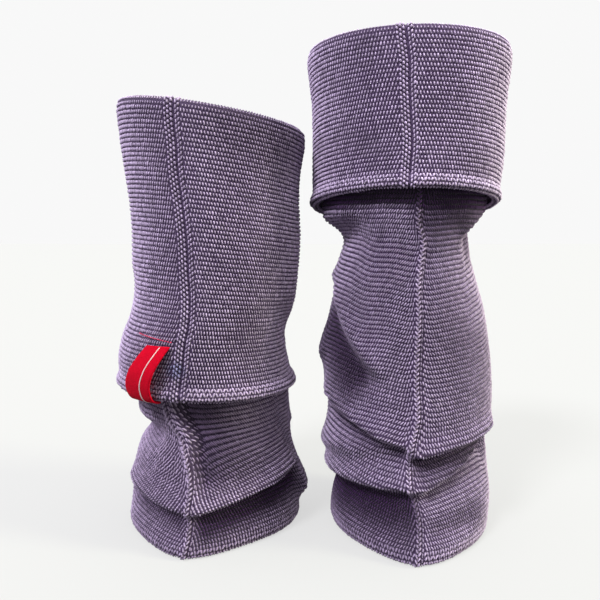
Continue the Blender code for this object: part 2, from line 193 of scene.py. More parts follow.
leftCuff = {
    "name": "left_cuff",
    "axis": (-59.9, 8.0),
    "insideBy": 0.0,
    "creaseRadius": 55.816,
    "seamHeight": -1.0,
    "rim": 258.5,
    "edge": 92.2,
    "hemAbove": 7.5,
    "shade": 0.03,
    "rowPitch": 2.6,
    "flat": (0.400, 0.200),
    "sections": (
        (258, -1.2, 0, 58.8, 61.0, 0, -0.15, 0.00, -14),
        (245, -1.0, 0, 57.9, 61.5, 0, -0.13, 0.00, -14),
        (235, -1.2, 0, 56.5, 62.0, 0, -0.11, 0.00, -13),
        (220, -0.8, 0, 54.6, 63.0, 0, -0.08, 0.00, -13),
        (200, 0.7, 0, 53.2, 64.0, 0, -0.03, 0.00, -12),
        (185, 1.4, 0, 53.1, 64.5, 0, 0.00, 0.00, -11),
        (164, 0.5, 0, 52.7, 65.0, 0, 0.00, 0.00, -9),
        (147, -0.7, 0, 51.4, 65.5, 0, 0.00, 0.00, -7),
        (135, -3.3, 0, 51.0, 65.5, 0, 0.00, 0.00, -5),
        (123, -6.6, 0, 52.4, 65.0, 0, 0.00, 0.00, -4),
        (111, -8.0, 0, 54.0, 64.0, 0, 0.00, 0.00, -4),
        (98, -7.0, 0, 55.3, 63.0, 0, -0.02, 0.00, -7),
        (86, -5.3, 0, 56.6, 62.0, 0, -0.03, 0.00, -9),
    ),
    "creases": (
        (-112, 172, -58, 166, 13.0, 0.0, 1.5, 20, 12, 0.15, 16),
        (66, 150, 118, 120, 14.0, 1.0, 2.0, 20, 12, 0.15, 16),
        (150, 190, 214, 176, 16.0, 1.5, 2.0, 24, 12, 0.15, 16),
        (160, 126, 226, 132, 14.0, 1.0, 2.0, 24, 12, 0.15, 16),
        (4, 266, 124, 266, 14.0, 0.0, 0.0, 24, 12, 0.36, 38),
    ),
    "rowDips": (),
}

rightCuff = {
    "name": "right_cuff",
    "axis": (62.6, 8.0),
    "insideBy": 0.0,
    "creaseRadius": 60.193,
    "seamHeight": -1.0,
    "rim": 299.5,
    "edge": 205.5,
    "hemAbove": 7.5,
    # painted light: below 0 the whole cuff is painted paler, where light falls from the right
    "shade": -0.26,
    "rowPitch": 2.6,
    "flat": (0.400, 0.135),
    "sections": (
        (300, -0.2, 0, 62.4, 62.0, 0, 0.00, 0.00, -10),
        (290, -0.1, 0, 62.8, 62.0, 0, 0.00, 0.00, -9),
        (280, 0.1, 0, 61.8, 62.0, 0, 0.00, 0.00, -8),
        (268, 0.1, 0, 60.4, 62.0, 0, 0.00, 0.00, -8),
        (250, 0.1, 0, 59.8, 62.0, 0, 0.00, 0.00, -7),
        (232, 0.0, 0, 59.7, 62.0, 0, 0.00, -0.05, -6),
        (215, -0.8, 0, 58.8, 61.5, 0, 0.00, -0.12, -6),
        (200, -1.6, 0, 57.6, 61.0, 0, 0.00, -0.14, -6),
    ),
    "creases": (
        (110, 262, 168, 246, 14.0, 1.0, 1.5, 24, 12, 0.15, 16),
        (-168, 240, -112, 252, 14.0, 1.0, 1.5, 24, 12, 0.15, 16),
        (-84, 254, -16, 246, 16.0, 0.0, 0.8, 26, 14, 0.44, 28),
        (-150, 308, -20, 308, 16.0, 0.0, 0.0, 40, 14, 0.24, 120),
    ),
    "rowDips": (),
}

# Knit strokes: lengths and widths as shares of the lattice they sit in, heights in millimetres
legStitch = {
    "longShare": 0.60,       # half length over the row pitch
    "wideShare": 0.31,       # half width over the pitch along the row
    "proud": 0.90,
    "sunk": 0.35,
    "slant": 33.0,
    "jitter": 0.09,
    "rimLess": 0.3,          # how much smaller they are over the rim's fold
    "gap": 0.08,             # how much painted light the yarn gets between them
    "crown": 0.96,           # and on top of them
}
cuffStitch = {
    "longShare": 0.56,
    "wideShare": 0.30,
    "proud": 1.0,
    "sunk": 0.40,
    "slant": 13.0,
    "jitter": 0.12,
    "rimLess": 0.3,
    "gap": 0.0,
    "crown": 1.0,
}
hemStitch = {
    "longShare": 0.66,
    "wideShare": 0.45,
    "proud": 0.9,
    "slant": 22.0,
    "shade": 0.16,           # painted shade: how much darker than the rest they are
}
seamStitch = {
    "sunk": 0.4,
    "slantJitter": 4.0,
    "jitter": 0.08,
    "gap": 0.05,
    "crown": 0.95,
}

# The lattice that the strokes sit in
lattice = {
    "profileStep": 0.8,
    "hemOver": 2.0,          # the hem's strokes come in over this height
    "rimBelow": 2.5,         # the rim's come in from this far under its fold
    "rimOver": 3.0,          # and over this height
    "slantOver": 8.0,        # the slant grows over this angle off the seam
    "backOver": 12.0,        # and goes again over this angle at the back
    "slantJitter": 0.2,
    "tallest": 1.3,          # limits over the pitch down and round, where the cloth is stretched
    "widest": 1.25,
    "keyStep": 2.0,          # a column's keys run from its number times this to 1 more
}


def smoothStep(x):
    x = np.clip(x, 0.0, 1.0)
    return x * x * (3.0 - 2.0 * x)


def tableValue(rows, columns, name, heights):
    # a column of a table at any height: cubic Hermite pieces through its rows
    table = np.array(rows, float)[::-1]
    knots = table[:, 0]
    values = table[:, columns.index(name)]
    slopes = np.gradient(values, knots)
    at = np.clip(heights, knots[0], knots[-1])
    low = np.clip(np.searchsorted(knots, at, side="right") - 1, 0, len(knots) - 2)
    span = knots[low + 1] - knots[low]
    t = (at - knots[low]) / span
    return (
        values[low] * (1 + 2 * t) * (1 - t) ** 2
        + slopes[low] * span * t * (1 - t) ** 2
        + values[low + 1] * t * t * (3 - 2 * t)
        + slopes[low + 1] * span * t * t * (t - 1)
    )


def wrapped(angle):
    return (angle + 180.0) % 360.0 - 180.0


def section(tube, name, height):
    # a column of the tube's own sections at any height
    return tableValue(tube["sections"], sectionColumns, name, height)


def followed(tube, fromSeam, height):
    # the true angle of a point of the knit: the seam's own angle is added in full near it and less behind
    share = smoothStep((180.0 - np.abs(fromSeam)) / (180.0 - cloth["seamFollowedTo"]))
    return fromSeam + share * section(tube, "seamAngle", height)


def creaseDepth(tube, angle, height, shade=False):
    # each crease: a bell-shaped ridge along a straight line on the unrolled tube that drops over a short edge
    # into a trough, which fills out again slowly; both fade in and out at the line's ends. With shade it is
    # instead the painted shade below the edge: how much less light is painted into the colour. The halves
    # centre the fades on the ends.
    depth = np.zeros(np.broadcast(angle, height).shape)
    radius = tube["creaseRadius"]
    toSides = smoothStep((np.abs(wrapped(angle)) - cloth["sidesFrom"]) / cloth["sidesOver"])
    for row in tube["creases"]:
        fold = dict(zip(creaseColumns, row))
        middle = (fold["startAngle"] + fold["endAngle"]) / 2
        halfTurn = (fold["endAngle"] - fold["startAngle"]) / 2
        alongX = 2 * math.radians(halfTurn) * radius
        alongZ = fold["endHeight"] - fold["startHeight"]
        length = math.hypot(alongX, alongZ)
        x = np.radians(wrapped(angle - middle) + halfTurn) * radius
        z = height - fold["startHeight"]
        along = (x * alongX + z * alongZ) / length
        below = (x * alongZ - z * alongX) / length
        ends = smoothStep(along / fold["fade"] + 0.5) * smoothStep((length - along) / fold["fade"] + 0.5)
        edge = fold["edge"] + cloth["edgeSpread"] * toSides
        drop = smoothStep(below / edge + cloth["edgeAhead"])
        if shade:
            fall = np.exp(-((np.maximum(below, 0.0) / fold["spread"]) ** cloth["shadePower"]))
            depth = np.maximum(depth, ends * fold["shade"] * drop * fall)
        else:
            ridge = fold["rise"] * np.exp(-((below / fold["reach"]) ** 2)) * (1 - drop)
            trough = fold["dip"] * drop * np.exp(-((below / (cloth["troughReach"] * fold["reach"])) ** 2))
            depth = depth + ends * (ridge - trough)
    return depth


def clothPoints(tube, fromSeam, height, inset, raised=0.0):
    # an ellipse at each height, pushed out along its normal by the creases, with a keel at the front seam,
    # a sag of whatever stands out, and a tilt of the whole section
    angle = followed(tube, fromSeam, height)
    turn = np.radians(angle)
    halfWidth = section(tube, "halfWidth", height)
    halfDepth = section(tube, "halfDepth", height)
    outX = np.sin(turn) * halfDepth
    outY = -np.cos(turn) * halfWidth
    outLength = np.hypot(outX, outY)
    offFloor = smoothStep(height / cloth["floorFade"])
    crease = offFloor * creaseDepth(tube, angle, height)
    sag = cloth["sag"] * offFloor * (crease + np.hypot(crease, cloth["sagStart"])) / 2
    push = crease + raised - inset
    x = np.sin(turn) * halfWidth + push * outX / outLength
    y = -np.cos(turn) * halfDepth + push * outY / outLength
    y = y - section(tube, "keel", height) * np.exp(-((fromSeam / cloth["keelAngle"]) ** 2))
    tiltX = np.sin(turn) * (halfWidth + tube["insideBy"])
    tiltY = -np.cos(turn) * (halfDepth + tube["insideBy"])
    z = height + section(tube, "slopeX", height) * tiltX + section(tube, "slopeY", height) * tiltY - sag
    x = x + tube["axis"][0] + section(tube, "shiftX", height)
    y = y + tube["axis"][1] + section(tube, "shiftY", height)
    return np.stack([x, y, z], axis=-1)


def pointCount(length, step, least):
    # how many points a stretch of a profile takes, with both its ends
    return max(least, round(length / step)) + 1


def legProfile(tube, top, step, hiddenStep=None):
    # (height, inset) down the leg, a quarter turn round its hem and in along the floor; what the cuff hides
    # may take longer steps
    radius = cloth["hemRadius"]
    seen = tube["stitchTop"] - cloth["seamGap"] if hiddenStep else top
    down = np.linspace(seen, radius, round((seen - radius) / step))
    if hiddenStep:
        hidden = np.linspace(top, seen, round((top - seen) / hiddenStep) + 1)[:-1]
        down = np.concatenate([hidden, down])
    turn = np.radians(np.linspace(0.0, 90.0, pointCount(math.pi / 2 * radius, step, 4)))[1:]
    inwards = np.linspace(0.0, cloth["hemTurnIn"], pointCount(cloth["hemTurnIn"], step, 2))[1:]
    straight = np.stack([down, 0.0 * down], axis=1)
    arc = np.stack([radius * (1 - np.sin(turn)), radius * (1 - np.cos(turn))], axis=1)
    flat = np.stack([0.0 * inwards, radius + inwards], axis=1)
    return np.concatenate([straight, arc, flat])


def cuffProfile(tube, step):
    # (height, inset) up inside the opening, half a turn over the rim, down outside, out over a soft flare and
    # half a turn in under the edge
    radius = cloth["foldRadius"]
    bend = cloth["weltRadius"]
    edge = tube["edge"]
    top = tube["rim"] - radius
    flare = edge + cloth["weltRise"]
    curled = math.radians(cloth["weltTurn"])
    up = np.linspace(top - cloth["insideDepth"], top, pointCount(cloth["insideDepth"], step, 3))[:-1]
    over = np.radians(np.linspace(180.0, 0.0, pointCount(math.pi * radius, step, 8)))
    down = np.linspace(top, flare, pointCount(top - flare, step, 4))[1:-1]
    out = np.linspace(flare, edge, pointCount(cloth["weltRise"], step, 5))
    curl = np.linspace(0.0, curled, pointCount(bend * curled, step, 9))[1:]
    flared = cloth["weltOut"] * smoothStep((flare - out) / cloth["weltRise"])
    return np.concatenate([
        np.stack([up, 2 * radius + 0.0 * up], axis=1),
        np.stack([top + radius * np.sin(over), radius * (1 - np.cos(over))], axis=1),
        np.stack([down, 0.0 * down], axis=1),
        np.stack([out, -flared], axis=1),
        np.stack([edge - bend * np.sin(curl), bend * (1 - np.cos(curl)) - cloth["weltOut"]], axis=1),
    ])


def paintedShading(tube, fromSeam, height):
    # painted shade, how much less light is painted into a point's colour: the tube's own, its creases'
    # and a cuff's above it. The darkest is about 1, and painted light, paler than the yarn, is below 0.
    creases = creaseDepth(tube, followed(tube, fromSeam, height), height, shade=True)
    underCuff = smoothStep((height - tube.get("shadedAbove", tube["rim"])) / cloth["cuffShadeOver"])
    return np.clip(tube["shade"] + creases + underCuff, cloth["palest"], cloth["darkest"])


def seamShape(tube, fromSeam, height):
    # a bell across the front seam, raised on a leg and sunk on a cuff
    across = np.radians(fromSeam) * section(tube, "halfWidth", height)
    bell = np.exp(-((across / cloth["seamHalfWidth"]) ** 2))
    return tube["seamHeight"] * bell * np.where(height > 0.0, 1.0, 0.0)


def gridNormals(points):
    # outward unit normals of a grid closed round: the cross product of the two ways along it
    roundWay = np.roll(points, -1, axis=1) - np.roll(points, 1, axis=1)
    along = np.gradient(points, axis=0)
    normal = np.cross(along, roundWay)
    return normal / np.linalg.norm(normal, axis=-1, keepdims=True)


def newMesh(name, points, faceSets, material):
    # points in millimetres; faceSets is a list of arrays of vertex numbers, one row a face
    mesh = bpy.data.meshes.new(name)
    mesh.vertices.add(len(points))
    mesh.vertices.foreach_set("co", (np.asarray(points) * mm).astype(np.float32).ravel())
    loops = np.concatenate([f.ravel() for f in faceSets])
    sizes = np.concatenate([np.full(len(f), f.shape[1]) for f in faceSets])
    mesh.loops.add(len(loops))
    mesh.loops.foreach_set("vertex_index", loops.astype(np.int32))
    mesh.polygons.add(len(sizes))
    mesh.polygons.foreach_set("loop_start", (np.cumsum(sizes) - sizes).astype(np.int32))
    mesh.update(calc_edges=True)
    mesh.polygons.foreach_set("use_smooth", np.ones(len(sizes), bool))
    mesh.materials.append(material)
    item = bpy.data.objects.new(name, mesh)
    bpy.context.scene.collection.objects.link(item)
    return item


def mark(item, name, values):
    # one number for each point, which the materials read
    item.data.attributes.new(name, "FLOAT", "POINT").data.foreach_set("value", values.astype(np.float32))


# The grid of a shell: angles of its columns close to the seam, steps from there to the back and steps down
shellGrid = {
    "near": (0.0, 1.3, 2.6, 4.2, 6.0, 8.0, 10.5),
    "stepsToBack": 46,
    "legStep": 1.9,
    "hiddenStep": 6.0,
    "cuffStep": 3.0,
}


def columnAngles():
    # angles off the seam of a shell's columns: close at the seam, wider round the back
    near = np.array(shellGrid["near"])
    far = np.linspace(near[-1], 180.0, shellGrid["stepsToBack"] + 1)[1:]
    half = np.concatenate([near, far])
    return wrapped(np.concatenate([half, 360.0 - half[1:-1][::-1]]))


def clothShell(tube, profile, material):
    # the cloth as a closed thin shell: the tube's skin moved in along its normals, once for each face
    angles = columnAngles()[None, :]
    height = profile[:, :1]
    inset = profile[:, 1:]
    plain = clothPoints(tube, angles, height, inset)
    raised = clothPoints(tube, angles, height, inset, seamShape(tube, angles, height))
    normals = gridNormals(plain)
    outer = raised - normals * cloth["outerSkinIn"]
    inner = plain - normals * cloth["innerSkinIn"]
    rows, columns = plain.shape[:2]
    skin = rows * columns
    corners = np.concatenate([outer.reshape(-1, 3), inner.reshape(-1, 3)])
    corners[:, 2] = np.maximum(corners[:, 2], cloth["offFloor"])
    r, c = np.meshgrid(np.arange(rows - 1), np.arange(columns), indexing="ij")
    a = r * columns + c
    b = r * columns + (c + 1) % columns
    outerFaces = np.stack([a, a + columns, b + columns, b], axis=-1).reshape(-1, 4)
    innerFaces = outerFaces[:, ::-1] + skin
    first = np.arange(columns)
    second = (first + 1) % columns
    last = (rows - 1) * columns
    topEdge = np.stack([first, second, skin + second, skin + first], axis=1)
    lowEdge = np.stack([last + second, last + first, skin + last + first, skin + last + second], axis=1)
    item = newMesh(tube["name"] + "_cloth", corners, [outerFaces, innerFaces, topEdge, lowEdge], material)
    # the ground is painted in shade where strokes cover it
    covered = np.where(height < tube.get("stitchTop", math.inf), 1.0, 0.0) + 0.0 * angles
    mark(item, "paintedShade", np.concatenate([paintedShading(tube, angles, height).ravel(), np.zeros(skin)]))
    mark(item, "covered", np.concatenate([covered.ravel(), np.zeros(skin)]))
    # the knit map counts strokes round and rows down
    stepDown = np.linalg.norm(np.diff(plain, axis=0), axis=-1).mean(axis=1)
    down = np.concatenate([[0.0], np.cumsum(stepDown)]) / tube["rowPitch"]
    turn = np.concatenate([np.mod(angles[0], 360.0), [360.0]]) / 360.0 * cloth["strokesRound"]
    knitMap = item.data.uv_layers.new(name="knit")
    columnUv = np.stack([turn[c], turn[c], turn[c + 1], turn[c + 1]], axis=-1).reshape(-1, 4)
    rowUv = np.stack([down[r], down[r + 1], down[r + 1], down[r]], axis=-1).reshape(-1, 4)
    outerUv = np.stack([columnUv, rowUv], axis=-1)
    edgeU = np.stack([turn[first], turn[first + 1], turn[first + 1], turn[first]], axis=-1)
    topUv = np.stack([edgeU, np.zeros_like(edgeU)], axis=-1)
    lowUv = np.stack([edgeU[:, ::-1], np.full_like(edgeU, down[-1])], axis=-1)
    everything = np.concatenate([outerUv, outerUv[:, ::-1], topUv, lowUv]).astype(np.float32)
    knitMap.data.foreach_set("uv", everything.ravel())
    print(item.name, "length down", round(float(stepDown.sum()), 1), "faces", len(item.data.polygons))
    return item


def denseCloth(tube, profile):
    # a fine grid of the skin with a column every half stroke, and how far down each column every point lies
    columns = 2 * cloth["strokesRound"]
    angles = wrapped(np.arange(columns) * 360.0 / columns)[None, :]
    height = profile[:, :1]
    inset = profile[:, 1:]
    skin = clothPoints(tube, angles, height, inset, seamShape(tube, angles, height))
    normals = gridNormals(skin)
    skin = skin - normals * cloth["outerSkinIn"]
    steps = np.linalg.norm(np.diff(skin, axis=0), axis=-1)
    lengths = np.concatenate([np.zeros((1, columns)), np.cumsum(steps, axis=0)])
    shares = lengths / lengths[-1]
    hem = tube["hemAbove"] + tube.get("edge", 0.0)
    atHem = smoothStep((hem - height) / lattice["hemOver"])
    aboveRim = height - tube["rim"] + cloth["foldRadius"] + lattice["rimBelow"]
    atRim = smoothStep(aboveRim / lattice["rimOver"])
    return {
        # how much painted shade, how near the hem and how near the rim every point is
        "marks": np.stack(np.broadcast_arrays(paintedShading(tube, angles, height), atHem, atRim), axis=-1),
        "points": skin,
        "normals": normals,
        "angles": angles[0],
        "total": float(lengths[-1].mean()),
        "keys": (shares + lattice["keyStep"] * np.arange(columns)[None, :]).T.ravel(),
        "rows": len(profile),
    }


def sampleCloth(skin, column, share):
    # points, normals and marks at whole column numbers and shares of the way down them
    rows = skin["rows"]
    key = np.clip(share, 0.0, 1.0) + lattice["keyStep"] * column
    at = np.searchsorted(skin["keys"], key, side="right") - 1
    at = np.clip(at, column * rows, column * rows + rows - 2)
    low = skin["keys"][at]
    t = ((key - low) / np.maximum(skin["keys"][at + 1] - low, tiny))[..., None]
    r = at - column * rows
    place = skin["points"][r, column] * (1 - t) + skin["points"][r + 1, column] * t
    normals = skin["normals"][r, column] * (1 - t) + skin["normals"][r + 1, column] * t
    return place, normals, skin["marks"][r, column]


def unit(vectors):
    return vectors / np.maximum(np.linalg.norm(vectors, axis=-1, keepdims=True), tiny)


def joined(*sets):
    return {key: np.concatenate([s[key] for s in sets]) for key in sets[0]}


def chosen(strokes, keep):
    return {key: value[keep] for key, value in strokes.items()}


def knitRows(tube, skin, stitch, rng):
    # strokes on a brick lattice: row k at an equal share of each column's length, every other row moved on
    # by half a stroke, rows lowered near the seam where the cloth sags there, knit-side V's along the hem
    rowCount = int(skin["total"] / tube["rowPitch"])
    k, j = np.meshgrid(np.arange(rowCount), np.arange(len(skin["angles"])), indexing="ij")
    fromSeam = skin["angles"][j]
    share = (k + 0.5) / rowCount
    height = sampleCloth(skin, j, share)[0][..., 2]
    dip = np.zeros(share.shape)
    for middle, reach, depth, spread in tube["rowDips"]:
        dip += depth * np.exp(-(((height - middle) / reach) ** 2)) * np.exp(-np.abs(fromSeam) / spread)
    share = share + dip / skin["total"]
    place, normals, marks = sampleCloth(skin, j, share)
    normals = unit(normals)
    along = np.roll(place, -1, axis=1) - np.roll(place, 1, axis=1)
    down = np.gradient(place, axis=0)
    rowStep = np.minimum(np.linalg.norm(down, axis=-1), lattice["tallest"] * tube["rowPitch"])
    pitch = np.linalg.norm(along, axis=-1)
    pitch = np.minimum(pitch, lattice["widest"] * np.median(pitch))
    along = unit(along)
    down = unit(down - normals * (down * normals).sum(-1, keepdims=True))
    paintedShade, hem, rim = np.moveaxis(marks, -1, 0)
    side = np.clip(fromSeam / lattice["slantOver"], -1.0, 1.0)
    side = side * smoothStep((180.0 - np.abs(fromSeam)) / lattice["backOver"])
    knitSide = np.where((j // 2 + k) % 2 == 0, 1.0, -1.0)
    slant = stitch["slant"] * side * (1 - hem) * (1 - rim) + hemStitch["slant"] * knitSide * hem
    lean = np.radians(slant * (1 + lattice["slantJitter"] * rng.standard_normal(side.shape)))
    wobble = 1 + stitch["jitter"] * rng.standard_normal(share.shape + (3,))

    def size(name):
        return (stitch[name] * (1 - hem) + hemStitch[name] * hem) * (1 - stitch["rimLess"] * rim)

    return chosen({
        "points": place,
        "normals": normals,
        "way": unit(down * np.cos(lean)[..., None] + along * np.sin(lean)[..., None]),
        "halfLong": size("longShare") * rowStep * wobble[..., 0],
        "halfWide": size("wideShare") * pitch * wobble[..., 1],
        "proud": size("proud") * wobble[..., 2],
        "sunk": np.full(share.shape, stitch["sunk"]),
        "fromSeam": fromSeam,
        "share": share,
        "paintedShade": paintedShade + hemStitch["shade"] * hem,
        "gap": np.full(share.shape, stitch["gap"]),
        "crown": np.full(share.shape, stitch["crown"]),
    }, (k + j) % 2 == 0)


def awayFromSeam(tube, strokes, clear):
    # the rows stop to the left and right of the front seam, where the seam's own strokes run
    across = np.radians(strokes["fromSeam"]) * (tube["creaseRadius"] + cloth["strokesOut"])
    return chosen(strokes, (across < -clear[0]) | (across > clear[1]))


def seamStitches(tube, skin, seamTable, rng):
    # single columns of strokes that run down beside the front seam, each at its own distance from it
    parts = []
    columns = len(skin["angles"])
    spacing = 2 * math.pi * (tube["creaseRadius"] + cloth["strokesOut"]) / columns
    for across, slant, halfLong, halfWide, proud, pitch, phase in seamTable:
        count = int(skin["total"] / pitch)
        share = (np.arange(count) + 0.5 + phase) / count
        low = math.floor(across / spacing)
        t = across / spacing - low
        lowPlace, lowNormals, marks = sampleCloth(skin, np.full(count, low % columns), share)
        highPlace, highNormals, _ = sampleCloth(skin, np.full(count, (low + 1) % columns), share)
        place = lowPlace * (1 - t) + highPlace * t
        down = unit(np.gradient(place, axis=0))
        along = unit(highPlace - lowPlace)
        lean = np.radians(slant + seamStitch["slantJitter"] * rng.standard_normal(count))[:, None]
        wobble = 1 + seamStitch["jitter"] * rng.standard_normal((count, 3))
        parts.append({
            "points": place,
            "normals": unit(lowNormals * (1 - t) + highNormals * t),
            "way": unit(down * np.cos(lean) + along * np.sin(lean)),
            "halfLong": halfLong * wobble[:, 0],
            "halfWide": halfWide * wobble[:, 1],
            "proud": proud * wobble[:, 2],
            "sunk": np.full(count, seamStitch["sunk"]),
            "fromSeam": np.full(count, math.degrees(across / tube["creaseRadius"])),
            "share": share,
            "paintedShade": marks[:, 0],
            "gap": np.full(count, seamStitch["gap"]),
            "crown": np.full(count, seamStitch["crown"]),
        })
    return joined(*parts)


# One stroke of yarn: a tip, two four-sided rings and a tip
spindle = {
    "ringsAt": 0.48,         # from its middle towards its tips
    "tipSunk": 0.6,          # a tip's depth over the rings'
    "tipPaintedLight": 0.03,         # how much painted light its points get: 1 on the crown, 0 where it goes into the cloth
    "sidePaintedLight": 0.10,
    "offFloor": 0.05,
    "mapEdge": 0.08,         # the empty edge round its square of the bake map
    "mapRings": (0.33, 0.67),
}


def spindles(name, strokes, material, rng):
    # each stroke: a closed spindle of two tips and two four-sided rings, laid along its way
    way = unit(strokes["way"])
    up = unit(strokes["normals"] - way * (strokes["normals"] * way).sum(-1, keepdims=True))
    across = np.cross(up, way) * strokes["halfWide"][:, None]
    proud = up * strokes["proud"][:, None]
    sunk = up * strokes["sunk"][:, None]
    long = way * strokes["halfLong"][:, None]
    middle = strokes["points"]
    tipIn = sunk * spindle["tipSunk"]
    corners = [middle - long - tipIn]
    for end in (-spindle["ringsAt"], spindle["ringsAt"]):
        base = middle + long * end
        corners += [base + proud, base + across, base - sunk, base - across]
    corners = np.stack(corners + [middle + long - tipIn], axis=1)
    corners[..., 2] = np.maximum(corners[..., 2], spindle["offFloor"])
    count, each = corners.shape[:2]
    ring = np.arange(4)
    nextRing = (ring + 1) % 4
    startFaces = np.stack([0 * ring, 1 + ring, 1 + nextRing], axis=1)
    sideFaces = np.stack([1 + ring, 5 + ring, 5 + nextRing, 1 + nextRing], axis=1)
    endFaces = np.stack([9 + 0 * ring, 5 + nextRing, 5 + ring], axis=1)
    shift = (np.arange(count) * each)[:, None, None]
    faceSets = [(shift + f[None]).reshape(-1, f.shape[1]) for f in (startFaces, sideFaces, endFaces)]
    item = newMesh(name, corners.reshape(-1, 3), faceSets, material)
    ringPaintedLight = (1.0, spindle["sidePaintedLight"], 0.0, spindle["sidePaintedLight"])
    paintedLight = np.tile((spindle["tipPaintedLight"], *ringPaintedLight, *ringPaintedLight, spindle["tipPaintedLight"]), count)
    gap = np.repeat(strokes["gap"], each)
    crown = np.repeat(strokes["crown"], each)
    mark(item, "paintedLight", gap + (crown - gap) * paintedLight)
    mark(item, "tint", np.repeat(rng.random(count), each))
    mark(item, "paintedShade", np.repeat(strokes["paintedShade"], each))
    # the bake map gives each stroke a small square of its own, with a quarter of its width for each side
    cells = math.ceil(math.sqrt(count))
    cell = np.stack([np.arange(count) % cells, np.arange(count) // cells], axis=-1)[:, None, :]
    u = ring / 4.0
    v = u + 0.25
    low, high = spindle["mapRings"]
    startUv = np.stack([np.stack([(u + v) / 2, u, v], 1), np.tile([0.0, low, low], (4, 1))], axis=-1)
    sideUv = np.stack([np.stack([u, u, v, v], 1), np.tile([low, high, high, low], (4, 1))], axis=-1)
    endUv = np.stack([np.stack([(u + v) / 2, v, u], 1), np.tile([1.0, high, high], (4, 1))], axis=-1)
    edge = spindle["mapEdge"]
    bakeUv = [
        ((edge + (1 - 2 * edge) * piece.reshape(1, -1, 2) + cell) / cells).reshape(-1, 2)
        for piece in (startUv, sideUv, endUv)
    ]
    bakeMap = item.data.uv_layers.new(name="OFBake")
    bakeMap.data.foreach_set("uv", np.concatenate(bakeUv).astype(np.float32).ravel())
    triangles = sum(len(f) * (f.shape[1] - 2) for f in faceSets)
    print(item.name, "strokes", count, "triangles", triangles)
    return item


# Materials. Each yarn colour is a mix from painted shade deep in the knit to a stroke's crown.
yarn = {
    "crown": (0.700, 0.555, 0.815),
    "deepPaintedShade": (0.034, 0.014, 0.056),
    "cool": (0.330, 0.350, 0.640),
    "paintedShade": (0.165, 0.118, 0.190),         # what is left of the light under full painted shade
    "roughness": 0.86,
    "specular": 0.25,
    "sheen": 0.15,
    "sheenRoughness": 0.45,
    "sheenTint": (0.85, 0.78, 0.92),
    "tints": (0.80, 1.20),                   # from the darkest stroke to the palest
    "coolPatch": (-75.8, -55.1, 108.3),      # a bluer patch of yarn low on the left cuff
    "coolReach": (2.8, 7.0),                 # full inside the first distance, gone past the second
    "coolShare": 0.8,
    # each noise: scale, roughness, the part of its range that is used, the brightness that makes
    "heather": (900.0, 0.7, (0.25, 0.75), (0.72, 1.25)),
    "wear": (28.0, 0.5, (0.3, 0.7), (0.93, 1.07)),
    # the ground between the strokes: the lattice's range, its painted light, and what strokes leave of that
    "ground": (-0.9, 0.9),
    "groundPaintedLight": 0.62,
    "coveredPaintedLight": 0.15,
    "groundBump": (0.9, 0.0009),             # strength, depth
    "strokeBump": (0.5, 0.0004),
}
unitRange = (0.0, 1.0)


def nodeAdder(material):
    nodes = material.node_tree.nodes
    links = material.node_tree.links

    def add(kind, inputs=None, **settings):
        node = nodes.new(kind)
        for key, value in settings.items():
            setattr(node, key, value)
        for key, value in (inputs or {}).items():
            if isinstance(value, bpy.types.NodeSocket):
                links.new(value, node.inputs[key])
            else:
                node.inputs[key].default_value = value
        return node

    return add


def startMaterial(name):
    material = bpy.data.materials.new(name)
    material.use_nodes = True
    shader = material.node_tree.nodes["Principled BSDF"]
    return material, shader, nodeAdder(material)


def fourth(colour):
    return (*colour, 1.0)


def product(add, first, second):
    return add("ShaderNodeMath", {0: first, 1: second}, operation="MULTIPLY").outputs[0]


def ranged(add, value, taken, given):
    # the first range stretched over the second, level past its ends
    limits = {"From Min": taken[0], "From Max": taken[1], "To Min": given[0], "To Max": given[1]}
    return add("ShaderNodeMapRange", {"Value": value, **limits}).outputs["Result"]


def blended(add, share, low, high, **settings):
    # two colours by share
    return add("ShaderNodeMix", {0: share, 6: low, 7: high}, data_type="RGBA", **settings).outputs[2]


def marked(add, name):
    return add("ShaderNodeAttribute", attribute_name=name).outputs["Fac"]


